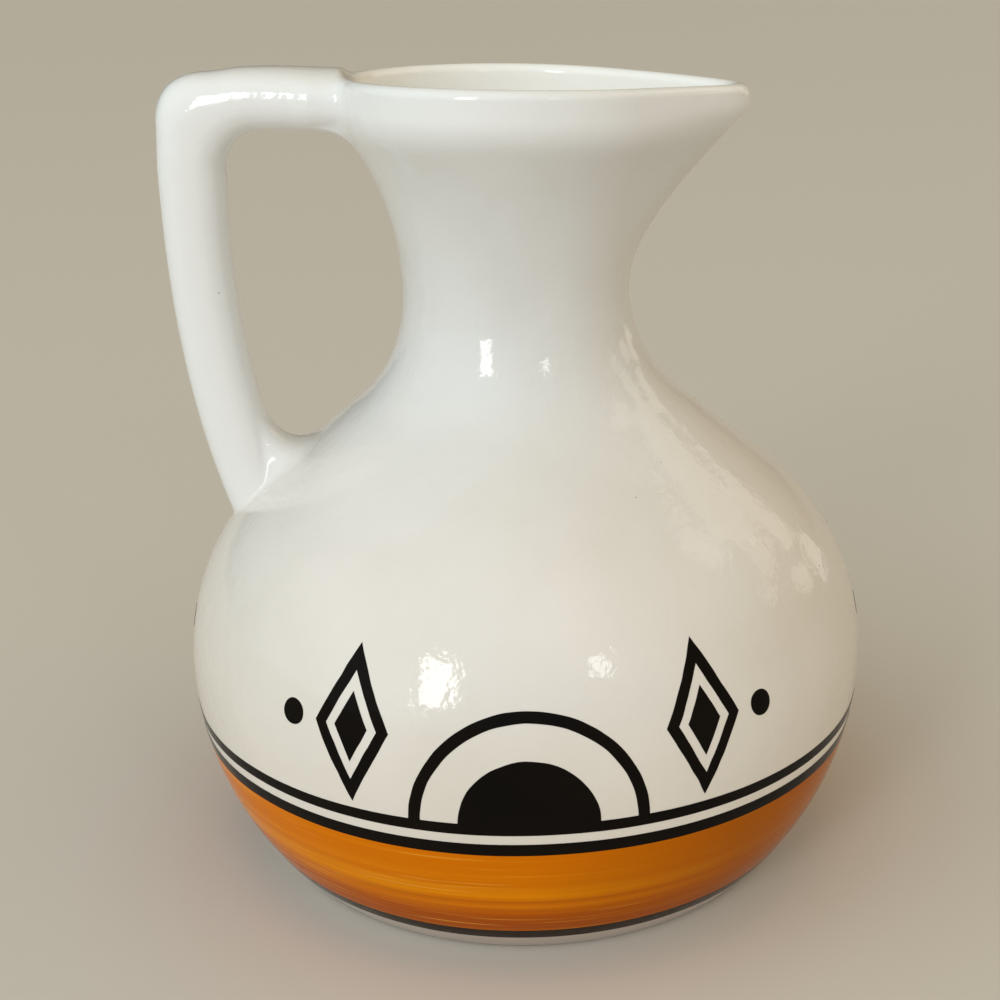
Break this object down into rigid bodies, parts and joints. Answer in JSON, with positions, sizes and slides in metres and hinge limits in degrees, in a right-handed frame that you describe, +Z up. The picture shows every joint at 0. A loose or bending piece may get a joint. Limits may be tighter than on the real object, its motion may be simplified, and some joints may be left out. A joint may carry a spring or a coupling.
{
  "type": "ceramic jug",
  "caption": "Round-bellied glazed jug with a drawn pouring lip, a squared strap handle, painted bands and arched motifs; stands on a flat foot.",
  "frame": {"origin": "centre of the flat foot, on the jug's axis, on the surface it stands on", "axes": "+Z up along the jug's axis, +X towards the tip of the pouring lip, -X towards the handle"},
  "size_m": [0.1768, 0.1766, 0.2025],
  "materials": {
    "ivory_glaze": "gloss",
    "orange_colour": "gloss",
    "black_colour": "gloss"
  },
  "bodies": {
    "root": {"body": "ivory_glaze", "handle": "ivory_glaze", "upper_slip_joint": "ivory_glaze", "lower_slip_joint": "ivory_glaze", "foot_line": "black_colour", "orange_band": "orange_colour", "lower_black_line": "black_colour", "upper_black_line": "black_colour", "painted_motifs": "black_colour"}
  },
  "joints": []
}
